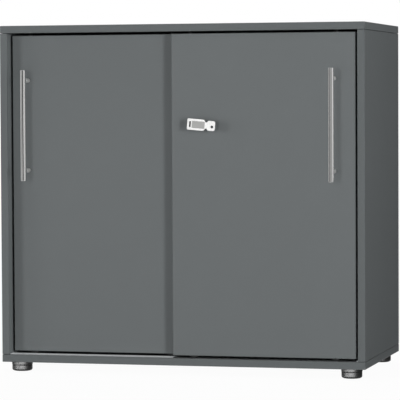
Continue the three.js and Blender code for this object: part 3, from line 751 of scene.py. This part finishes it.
# %% Wheels, axles and housings
WHEEL_BORE, HUB, RIM, TREAD = 1.8 * mm, 3.6 * mm, 7.6 * mm, 9.2 * mm
WEB, SLOPE, RIDGE_FOOT, RIDGE_TOP = 1.1 * mm, 0.3 * mm, 1.2 * mm, 0.9 * mm
HOUSING_SLOT = (11.5 * mm, 3.4 * mm, 17.1 * mm)
HOUSING_CORNER = 2.5 * mm
AXLE_BORE = 1.8 * mm
for side in SIDES:
    for end in SIDES:
        parts = ("wheel", "axle", "housing")
        wheel, axle, housing = (f"{side}_roller_{part}_{end}" for part in parts)
        outer, half = size(wheel).z / 2, size(wheel).y / 2
        near = [(WHEEL_BORE, -half), (HUB, -half), (HUB + SLOPE, -WEB), (RIM - SLOPE, -WEB)]
        near += [(RIM, -half), (TREAD, -half), (TREAD, -RIDGE_FOOT), (outer, -RIDGE_TOP)]
        profile = near + [(reach, -height) for reach, height in reversed(near)]
        mesh = lathe(wheel, profile, middle(wheel), BACK, rounding=0.25 * mm)
        add_piece(f"{side}_door_wheel_{end}", mesh, [wheel_plastic], wheel)
        radius, length = size(axle).z / 2, size(axle).y
        start = middle(axle) - Vector((0, length / 2, 0))
        mesh = lathe(axle, rod(radius, 0, length), start, BACK, 0.4 * mm, sides=32)
        add_piece(f"{side}_wheel_axle_{end}", mesh, [zinc], axle)
        blank = rounded_plate(housing, housing, HOUSING_CORNER)
        (x, y, z), (reach, depth, top) = middle(housing), HOUSING_SLOT
        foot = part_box(housing)[0].z
        slot = box_cutter((x - reach, y - depth, foot - 1 * mm), (x + reach, y + depth, foot + top))
        start = middle(axle) - Vector((0, length, 0))
        bore = lathe("bore", rod(AXLE_BORE, 0, 2 * length), start, BACK, 0, sides=32)
        mesh = combined(housing, blank, [slot, bore])
        piece = add_piece(f"{side}_wheel_housing_{end}", mesh, [black_plastic], housing)
        break_edges(piece, 0.3 * mm)
print("wheels ready")

# %% [markdown]
# ## Guides and shelf pins
#
# At the top, two plastic guides on each door slide in the rail's slots. Barbs on their shanks
# hold them in the door. The shelf lies on four pins, each with a small groove in its middle. The
# lathe makes them all.

# %% Upper guides and shelf pins
BARB, BARB_PITCH, BARBS = 0.45 * mm, 2.6 * mm, 4
SHANK, GUIDE_PIN, COLLAR_HEIGHT = 4.0 * mm, 2.4 * mm, 1.5 * mm
GROOVE, GROOVE_HALF, GROOVE_LIP = 0.35 * mm, 0.5 * mm, 0.8 * mm
for side in SIDES:
    for end in SIDES:
        node = f"{side}_top_guide_{end}"
        low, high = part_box(node)
        collar = size(node).x / 2
        depth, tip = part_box(f"{side}_door_panel")[1].z - low.z, high.z - low.z
        seat = depth + COLLAR_HEIGHT
        profile = [(0, 0), (SHANK - BARB, 0)]
        for barb in range(BARBS):
            foot = 0.8 * mm + barb * BARB_PITCH
            profile += [(SHANK, foot + BARB_PITCH * 0.7), (SHANK - BARB, foot + BARB_PITCH * 0.75)]
        profile += [(SHANK - BARB, depth), (collar, depth), (collar, seat), (GUIDE_PIN, seat)]
        profile += [(GUIDE_PIN, tip - 1.2 * mm), (GUIDE_PIN - 0.9 * mm, tip), (0, tip)]
        start = Vector((middle(node).x, middle(node).y, low.z))
        mesh = lathe(node, profile, start, UP, sides=40)
        add_piece(f"{side}_door_guide_{end}", mesh, [black_plastic], node)
for corner in FOOT_ENDS:
    node = f"shelf_pin_{corner}"
    length, radius = size(node).x, size(node).z / 2
    half, neck = length / 2, radius - GROOVE
    profile = [(0, 0), (radius, 0), (radius, half - GROOVE_LIP), (neck, half - GROOVE_HALF)]
    profile += [(neck, half + GROOVE_HALF), (radius, half + GROOVE_LIP)]
    profile += [(radius, length), (0, length)]
    start = middle(node) - Vector((half, 0, 0))
    mesh = lathe(node, profile, start, (1, 0, 0), rounding=0.4 * mm, sides=40)
    add_piece(f"turned_shelf_pin_{corner}", mesh, [zinc], node)
print("guides and pins ready")

# %% [markdown]
# ## The push lock
#
# The lock sits near the front door's free edge, in a sleeve with a thin flange. Pushing the round
# barrel in sends its bolt through the hole of a striker plate on the rear door, and the key lets
# it spring out again. The lathe makes the round parts, and the plate is cut from a blank.

# %% Sleeve, barrel, bolt and striker
lock_axis = middle("lock_barrel")
door_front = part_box("right_door_panel")[0].y
barrel_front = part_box("lock_barrel")[0].y


def on_axis(depth):
    return Vector((lock_axis.x, depth, lock_axis.z))


def add_round(name, node, coat, profile, rounding=0.2 * mm, sides=LATHE_SIDES):
    start = on_axis(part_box(node)[0].y)
    mesh = lathe(node + "_turned", profile, start, BACK, rounding, sides)
    add_piece(name, mesh, [coat], node)


SLEEVE_RADIUS, SLEEVE_BORE, FLANGE_CHAMFER = 8.7 * mm, 7.3 * mm, 0.6 * mm
flange, length = size("lock_sleeve").x / 2, size("lock_sleeve").y
flange_height = door_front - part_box("lock_sleeve")[0].y
profile = [(SLEEVE_BORE, 0), (flange - FLANGE_CHAMFER, 0), (flange, FLANGE_CHAMFER)]
profile += [(flange, flange_height), (SLEEVE_RADIUS, flange_height)]
profile += [(SLEEVE_RADIUS, length), (SLEEVE_BORE, length)]
add_round("lock_flange_sleeve", "lock_sleeve", nickel, profile)

BARREL_BORE, BARREL_FLOOR, BARREL_CHAMFER = 4.8 * mm, 1.6 * mm, 0.9 * mm
radius, length = size("lock_barrel").x / 2, size("lock_barrel").y
bore_depth = length - BARREL_FLOOR
profile = [(0, bore_depth), (BARREL_BORE, bore_depth), (BARREL_BORE, 0)]
profile += [(radius - BARREL_CHAMFER, 0), (radius, BARREL_CHAMFER), (radius, length), (0, length)]
add_round("push_barrel", "lock_barrel", nickel, profile, rounding=0.4 * mm)

BOLT_CHAMFER = 0.8 * mm
radius, length = size("lock_bolt").x / 2, size("lock_bolt").y
profile = [(0, 0), (radius, 0), (radius, length - BOLT_CHAMFER)]
profile += [(radius - BOLT_CHAMFER, length), (0, length)]
add_round("round_bolt", "lock_bolt", zinc, profile, sides=48)

STRIKER_CORNER, BOLT_HOLE = 2.0 * mm, 3.8 * mm
SINK_RADIUS, SINK_LAND, SINK_DEPTH, SCREW_HOLE = 3.6 * mm, 0.3 * mm, 2.2 * mm, 2.05 * mm
blank = rounded_plate("striker", "lock_striker", STRIKER_CORNER)
plate_front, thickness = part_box("lock_striker")[0].y, size("lock_striker").y
hole = rod(BOLT_HOLE, 0, 3 * thickness)
cutters = [lathe("hole", hole, on_axis(plate_front - thickness), BACK, rounding=0)]
for level in LEVELS:
    place = middle(f"striker_screw_{level}")
    sink = [(0, -1 * mm), (SINK_RADIUS, -1 * mm), (SINK_RADIUS, SINK_LAND)]
    sink += [(SCREW_HOLE, SINK_DEPTH), (SCREW_HOLE, 2 * thickness), (0, 2 * thickness)]
    cutters.append(lathe("sink", sink, (place.x, plate_front, place.z), BACK, rounding=0))
mesh = combined("striker_plate", blank, cutters)
piece = add_piece("striker_plate", mesh, [zinc], "lock_striker")
break_edges(piece, 0.25 * mm)
print("lock ready")

# %% [markdown]
# ## The folding key
#
# The key stays in the plug. Its blade ends in a short stalk, and a pin through the stalk carries
# the bow, which hangs folded flat to the right and tilts down a little. The blade's outline has
# the notches that a file makes. All are made about the plug's front, then turned and moved alike,
# so they stay in line.

# %% Plug, blade and pin
KEY_TILT = math.radians(5.2)
plug_place = Matrix.Translation(on_axis(barrel_front)) @ Matrix.Rotation(KEY_TILT, 4, "Y")
PLUG_RADIUS, PLUG_CHAMFER, PLUG_PLAY = 4.5 * mm, 0.4 * mm, 0.3 * mm
KEYWAY = (1.3 * mm, 11.3 * mm, 3.5 * mm)

length = bore_depth - PLUG_PLAY
profile = [(0, 0.15 * mm), (2.5 * mm, 0.1 * mm), (PLUG_RADIUS - PLUG_CHAMFER, 0)]
profile += [(PLUG_RADIUS, PLUG_CHAMFER), (PLUG_RADIUS, length), (0, length)]
blank = lathe("plug", profile, (0, 0, 0), BACK, sides=48)
half_width, keyway_depth, half_up = KEYWAY
keyway = box_cutter((-half_width, -1 * mm, -half_up), (half_width, keyway_depth, half_up))
mesh = combined("turning_plug", blank, [keyway])
mesh.transform(plug_place)
add_piece("turning_plug", mesh, [nickel], "lock_plug")

BLADE_HALF, BLADE_UP, BLADE_LENGTH = 1.0 * mm, 3.2 * mm, 11 * mm
STALK_HALF, STALK_UP, STALK_REACH, STALK_GAP = 1.7 * mm, 5.85 * mm, 7 * mm, 0.3 * mm
BITTING = (1.1 * mm, 0.4 * mm, 1.4 * mm, 0.7 * mm)
NOTCH_PITCH, NOTCH_HALF, NOTCH_FLOOR = 2.2 * mm, 0.9 * mm, 0.3 * mm
TIP_IN, TIP_UP = 1.5 * mm, 2 * mm
edge = [(-STALK_REACH / 2, -BLADE_UP)]
for number, depth in enumerate(BITTING):
    notch = NOTCH_PITCH * (number + 1)
    edge += [(notch - NOTCH_HALF, -BLADE_UP), (notch - NOTCH_FLOOR, -BLADE_UP + depth)]
    edge += [(notch + NOTCH_FLOOR, -BLADE_UP + depth), (notch + NOTCH_HALF, -BLADE_UP)]
edge += [(BLADE_LENGTH - TIP_IN, -BLADE_UP), (BLADE_LENGTH, -BLADE_UP + TIP_UP)]
edge += [(BLADE_LENGTH, BLADE_UP - TIP_UP), (BLADE_LENGTH - TIP_IN, BLADE_UP)]
edge += [(-STALK_REACH / 2, BLADE_UP)]
blade = slab("blade", edge, -BLADE_HALF, BLADE_HALF, across="X")
outline = [(STALK_HALF, -STALK_GAP), (-STALK_HALF, -STALK_GAP)]
outline += arc((0, -STALK_REACH), STALK_HALF, 180, 360, steps=14)
stalk = slab("stalk", outline, -STALK_UP, STALK_UP, across="Z")
blade = combined("blade_and_stalk", stalk, [blade], "UNION")
PIN_BORE, PIN_RADIUS, PIN_HALF = 1.1 * mm, 0.8 * mm, 11.5 * mm
bore = rod(PIN_BORE, -2 * PIN_HALF, 2 * PIN_HALF)
pin_bore = lathe("pin_bore", bore, (0, -STALK_REACH, 0), UP, rounding=0, sides=32)
mesh = combined("key_blade_cut", blade, [pin_bore])
mesh.transform(plug_place)
add_piece("notched_key_blade", mesh, [zinc], "key_blade")

pin = rod(PIN_RADIUS, -PIN_HALF, PIN_HALF)
mesh = lathe("bow_pin", pin, (0, -STALK_REACH, 0), UP, 0.3 * mm, sides=32)
mesh.transform(plug_place)
add_piece("bow_hinge_pin", mesh, [zinc], "key_pin")
print("plug, blade and pin ready")

# %% [markdown]
# ## The key's bow
#
# The bow is a nickel casting: a broad plate with a raised rim round a blasted field, a slot over
# the stalk, a narrow waist and a tab with a hole for the ring. Its lower half is drawn and
# mirrored. Field, slot and hole are cut. The field gets a finish of its own and is left plain.
# The slot's floor and the hole's wall are painted near black, which is painted shade.

# %% The bow
BOW_FRONT, BOW_BACK = -2.9 * mm, 2.1 * mm
FIELD_DEPTH = 0.5 * mm
body_left, body_right, body_half = -6.3 * mm, 33.2 * mm, 11.8 * mm
waist_half, tab_left, tab_right, tab_half = 6.7 * mm, 37.2 * mm, 54.7 * mm, 10.4 * mm
near_radius, shoulder, tab_radius = 2.6 * mm, 6 * mm, 4 * mm
lower = arc((body_left + near_radius, near_radius - body_half), near_radius, 180, 270)
lower += arc((body_right - shoulder, shoulder - body_half), shoulder, -90, -9, steps=10)
lower += [(tab_left, -waist_half)]
lower += arc((tab_left + tab_radius, tab_radius - tab_half), tab_radius, 180, 270, steps=8)
lower += arc((tab_right - tab_radius, tab_radius - tab_half), tab_radius, -90, 0, steps=8)
upper = [(x, -z) for x, z in reversed(lower)]
blank = slab("bow", lower + upper, BOW_FRONT, BOW_BACK)

ahead, sunk_floor = BOW_FRONT - 1 * mm, BOW_FRONT + FIELD_DEPTH
field_outline = rounded_outline((4 * mm, -7.5 * mm), (32 * mm, 7.5 * mm), 1.5 * mm)
field = slab("field", field_outline, ahead, sunk_floor)
SLOT_RIGHT = 1.7 * mm
slot_half = STALK_UP + 0.3 * mm
slot_outline = rounded_outline((-SLOT_RIGHT, -slot_half), (SLOT_RIGHT, slot_half), 0.8 * mm)
slot = slab("slot", slot_outline, ahead, sunk_floor)
HOLE_RADIUS = 3.0 * mm
hole_place = Vector((48.1 * mm, -5 * mm, -2 * mm))
ring_hole = lathe("ring_hole", rod(HOLE_RADIUS, 0, 9 * mm), hole_place, BACK, 0, sides=40)
channel_half = STALK_HALF + 0.3 * mm
channel = box_cutter(
    (body_left - 1 * mm, -channel_half, -slot_half), (channel_half, BOW_BACK + 1 * mm, slot_half)
)
bore = rod(PIN_BORE, -14 * mm, 14 * mm)
pin_bore = lathe("pin_bore", bore, (0, 0, 0), UP, rounding=0, sides=32)
mesh = combined("key_bow_cast", blank, [field, slot, ring_hole, channel, pin_bore])

CAST, FIELD, PAINTED_SHADE = 0, 1, 2
indices = []
for face in mesh.polygons:
    sunk = abs(face.center.y - sunk_floor) < 0.02 * mm
    off_hole = math.hypot(face.center.x - hole_place.x, face.center.z - hole_place.z)
    in_hole = off_hole < HOLE_RADIUS + 0.05 * mm and abs(face.normal.y) < 0.5
    in_slot = sunk and face.center.x < 2 * mm
    indices.append(PAINTED_SHADE if in_hole or in_slot else FIELD if sunk else CAST)
mesh.transform(plug_place @ Matrix.Translation((0, -STALK_REACH, 0)))
# Near black for the slot's floor and the ring hole's wall: painted shade in these recesses.
painted_shade_coat = moulded_finish("dark_slot_floor", paint(30, 30, 30), 0.6)
piece = add_piece("cast_key_bow", mesh, [nickel, recess_nickel, painted_shade_coat], "key_bow")
mesh.polygons.foreach_set("material_index", indices)
break_edges(piece, 0.22 * mm)
print("key ready:", len(mesh.polygons), "faces in the bow")

# %% [markdown]
# ## The rail and the track
#
# Both are plain extrusions. The rail's solid stays: a weld joins its corners and a small bevel
# breaks its edges. The track shows as a pale strip before the rear door. Its mesh is copied, and
# its front edge is rounded to a nose that catches the light.

# %% The rail and the track
rail = nodes["top_rail"]
for place in rail.material_slots:
    place.material = black_plastic
weld = rail.modifiers.new("joined_corners", "WELD")
weld.merge_threshold = 0.004 * mm
break_edges(rail, 0.3 * mm)

TRACK_NOSE, NOSE_STEPS = 1.4 * mm, 5
low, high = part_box("bottom_track")
shape = whole_faces("bottom_track")
nose = [
    edge for edge in shape.edges
    if all(abs(end.co.y - low.y) + abs(end.co.z - high.z) < NEAR for end in edge.verts)
]
round_off(shape, nose, TRACK_NOSE, NOSE_STEPS)
mesh = smooth(made_mesh(shape, "track_extrusion"), 25)
add_piece("two_groove_track", mesh, [track_plastic], "bottom_track")
print(len(nose), "edge rounded on the track's nose")
undressed = [node for node, solid in nodes.items() if not solid.hide_render and not solid.modifiers]
print("solids without a finish:", undressed)

# %% [markdown]
# ## Floor and background
#
# The photograph has a white ground. To the camera, most of the floor's light is plain white, and
# a small share is a lit surface that keeps the cabinet's soft shadow. That share fades out a metre
# or two away. Other rays see a pale floor that throws a little light up.

# %% The floor
FLOOR_SIZE = 60.0
SHADOW_SHARE = 0.04
SHADOW_REACH = (0.7, 1.9)
WHITE, PALE, BOUNCE = (1, 1, 1, 1), (0.97, 0.97, 0.97, 1), (0.55, 0.55, 0.55, 1)


def seen_rays(coat):
    rays = add_node(coat, "LightPath").outputs
    first = calc(coat, "MAXIMUM", rays["Is Camera Ray"], rays["Is Glossy Ray"])
    return calc(coat, "MAXIMUM", first, rays["Is Transmission Ray"])


def floor_finish():
    coat, place = new_finish("pale_floor")
    coat.node_tree.nodes.remove(coat.node_tree.nodes["Principled BSDF"])
    length = add_node(coat, "VectorMath", {0: place}, operation="LENGTH")
    share = ranged(coat, length.outputs["Value"], *SHADOW_REACH, SHADOW_SHARE, 0.0)
    white = add_node(coat, "Emission", {"Color": WHITE, "Strength": 1.0}).outputs[0]
    lit = add_node(coat, "BsdfDiffuse", {"Color": PALE}).outputs[0]
    seen = add_node(coat, "MixShader", {0: share, 1: white, 2: lit}).outputs[0]
    felt = add_node(coat, "BsdfDiffuse", {"Color": BOUNCE}).outputs[0]
    both = add_node(coat, "MixShader", {0: seen_rays(coat), 1: felt, 2: seen}).outputs[0]
    wire(coat, both, coat.node_tree.nodes["Material Output"].inputs["Surface"])
    return coat


def sheet(name, corners, coat):
    mesh = bpy.data.meshes.new(name)
    mesh.from_pydata(corners, [], [(0, 1, 2, 3)])
    mesh.materials.append(coat)
    return put(name, mesh)


half = FLOOR_SIZE / 2
corners = [(-half, -half, 0), (half, -half, 0), (half, half, 0), (-half, half, 0)]
floor = sheet("floor", corners, floor_finish())
print(f"floor {FLOOR_SIZE:.0f} m wide")

# %% [markdown]
# ## White surroundings
#
# The camera and the reflections see a white page all round. As a light, the same world is nearly
# off, for light from everywhere would wash out the soft shadows. A light path node tells the
# two kinds of ray apart.

# %% The white surroundings
AMBIENT = 0.012
world = bpy.data.worlds.new("white_studio")
world.use_nodes = True
bpy.context.scene.world = world
soft_light = world.node_tree.nodes["Background"]
soft_light.inputs["Color"].default_value = WHITE
soft_light.inputs["Strength"].default_value = AMBIENT
page = add_node(world, "Background", {"Color": WHITE, "Strength": 1.0}).outputs[0]
shares = {0: seen_rays(world), 1: soft_light.outputs[0], 2: page}
mixed = add_node(world, "MixShader", shares).outputs[0]
wire(world, mixed, world.node_tree.nodes["World Output"].inputs["Surface"])
print("white world, ambient light", AMBIENT)

# %% [markdown]
# ## Cards for the reflections
#
# Satin metal shows its surroundings. In an all-white room a round bar would look flat, so a
# photographer stands cards before it: light ones give the bright streaks, dark ones the lines
# between them. A dark screen at the right keeps the sheen off the side board. Only reflections
# see these cards: they give no light and no shadow.

# %% Cards that only reflections see
def standing(x0, x1, y, bottom, top):
    return [(x0, y, bottom), (x1, y, bottom), (x1, y, top), (x0, y, top)]


def reflection_card(name, corners, level):
    glow = bpy.data.materials.new(name)
    glow.use_nodes = True
    glow.node_tree.nodes.remove(glow.node_tree.nodes["Principled BSDF"])
    light = add_node(glow, "Emission", {"Color": WHITE, "Strength": level}).outputs[0]
    wire(glow, light, glow.node_tree.nodes["Material Output"].inputs["Surface"])
    card = sheet(name, corners, glow)
    card.visible_camera = card.visible_diffuse = card.visible_shadow = False


CARD_TOP, FAR_ROW, NEAR_ROW = 1.1, -0.70, -0.33
FRONT_CARDS = (
    ("far_left_card", -3.0, -1.0, FAR_ROW, 0.12),
    ("left_card", -1.0, -0.52, FAR_ROW, 0.60),
    ("camera_card", -0.52, -0.17, FAR_ROW, 0.02),
    ("dim_card", -0.17, -0.14, FAR_ROW, 0.15),
    ("key_window", -0.14, -0.03, FAR_ROW, 1.2),
    ("light_card", -0.03, 0.08, FAR_ROW, 0.7),
    ("grey_card", 0.08, 0.42, FAR_ROW, 0.34),
    ("near_right_card", 0.36, 0.75, NEAR_ROW, 0.42),
    ("near_left_card", 0.13, 0.27, NEAR_ROW, 0.20),
)
for name, x0, x1, y, level in FRONT_CARDS:
    reflection_card(name, standing(x0, x1, y, 0.0, CARD_TOP), level)
SIDE_LEFT, SIDE_RIGHT, CLOTH_FRONT, SIDE_ROW = 0.42, 3.6, -0.3, 1.2
SIDE_SCREEN = (("low", 0.0, 0.35, 0.03), ("middle", 0.35, 0.8, 0.08), ("high", 0.8, 2.5, 0.16))
for name, bottom, top, level in SIDE_SCREEN:
    corners = standing(SIDE_LEFT, SIDE_RIGHT, SIDE_ROW, bottom, top)
    reflection_card(f"side_screen_{name}", corners, level)
CLOTH_UP, CLOTH_LEVEL = 1 * mm, 0.02
front = [(x, CLOTH_FRONT, CLOTH_UP) for x in (SIDE_LEFT, SIDE_RIGHT)]
back = [(x, SIDE_ROW, CLOTH_UP) for x in (SIDE_RIGHT, SIDE_LEFT)]
reflection_card("dark_cloth", front + back, CLOTH_LEVEL)
print(len(FRONT_CARDS) + len(SIDE_SCREEN) + 1, "cards")

# %% [markdown]
# ## Studio light
#
# Tall strip lamps stand low round the front, so the light is even from top to bottom. The
# strongest stands 47 degrees to the right: it throws the front door's soft shadow onto the rear
# door. One lamp hangs overhead, and one stands behind for views from there.
#
# Light linking does here what flags do in a studio. The bars don't block lamps far to a side, so
# they throw only short shadows. The main lamps leave out the pale track, which would glow under
# the doors, and one above lights it alone. A fill lights only the left side board's front edge,
# and two low wide lamps give the black feet a highlight.

# %% Which pieces a lamp lights
def group_of(name, starts, state):
    """The pieces whose names start so, as a collection that lamps include or leave out."""
    group = bpy.data.collections.new(name)
    for piece in bpy.data.objects:
        if piece.name.startswith(starts):
            group.objects.link(piece)
    for member in group.collection_objects:
        member.light_linking.link_state = state
    return group


BARS = ("left_round_bar", "right_round_bar", "left_bar_post", "right_bar_post")
all_but_track = group_of("all_but_track", ("two_groove_track",), "EXCLUDE")
all_but_bars = group_of("all_but_bars", BARS, "EXCLUDE")
track_only = group_of("track_only", ("two_groove_track",), "INCLUDE")
left_side_only = group_of("left_side_only", ("left_side_board",), "INCLUDE")
feet_only = group_of("feet_only", ("foot_ring", "levelling_foot"), "INCLUDE")

# %% The lamps
LIT_POINT = Vector((0.0, 0.0, 0.40))
WHITE_WATTS = math.pi ** 2
SIDEWAYS = 30
FAR, BESIDE, FOOT_LAMPS = 3.5, 1.5, 2.5
STRIP, PANEL, BAR_LAMP, SMALL = (0.62, 1.6), (1.2, 1.2), (1.2, 0.5), (0.5, 0.5)
LAMPS = (
    ("far_left_strip", -70, 4, FAR, STRIP, 0.16, all_but_track),
    ("left_strip", -50, 4, FAR, STRIP, 0.29, all_but_track),
    ("front_fill", -8, 4, FAR, STRIP, 0.23, all_but_track),
    ("right_strip", 47, 4, FAR, STRIP, 0.57, all_but_track),
    ("overhead_panel", 0, 84, FAR, PANEL, 0.22, all_but_track),
    ("back_panel_lamp", -172, 12, FAR, PANEL, 1.10, all_but_track),
    ("side_lamp", 80, 35, BESIDE, SMALL, 0.07, all_but_track),
    ("track_lamp", 0, 74, FAR, BAR_LAMP, 1.0, track_only),
    ("edge_fill", 75, 4, FAR, STRIP, 0.40, left_side_only),
    ("foot_lamp_left", -40, -6, FOOT_LAMPS, (1.8, 0.3), 6.12, feet_only),
    ("foot_lamp_middle", 11, -6, FOOT_LAMPS, (3.0, 0.3), 10.2, feet_only),
)


def stand_lamp(name, azimuth, elevation, distance, spans, share, lit):
    """A lamp that gives a white surface this share of its full brightness, face on."""
    turn, rise = math.radians(azimuth), math.radians(elevation)
    level = math.cos(rise)
    out = Vector((math.sin(turn) * level, -math.cos(turn) * level, math.sin(rise)))
    lamp = bpy.data.lights.new(name, "AREA")
    lamp.shape = "RECTANGLE"
    lamp.size, lamp.size_y = spans
    lamp.energy = share * WHITE_WATTS * distance ** 2
    box = put(name, lamp)
    box.location = LIT_POINT + out * distance
    box.rotation_mode = "QUATERNION"
    box.rotation_quaternion = (-out).to_track_quat("-Z", "Y")
    box.visible_camera = False
    only_highlight = lit is feet_only
    box.visible_glossy, box.visible_diffuse = only_highlight, not only_highlight
    box.light_linking.receiver_collection = lit
    if lit is all_but_track and abs(azimuth) > SIDEWAYS:
        box.light_linking.blocker_collection = all_but_bars


for row in LAMPS:
    stand_lamp(*row)
print(len(LAMPS), "lamps")

# %% [markdown]
# ## Colour management
#
# The Standard view shows a colour as the finish and the light make it. A film-like view would
# change the boards' greys.

# %% Colour management
bpy.context.scene.view_settings.view_transform = "Standard"
print("view:", bpy.context.scene.view_settings.view_transform)
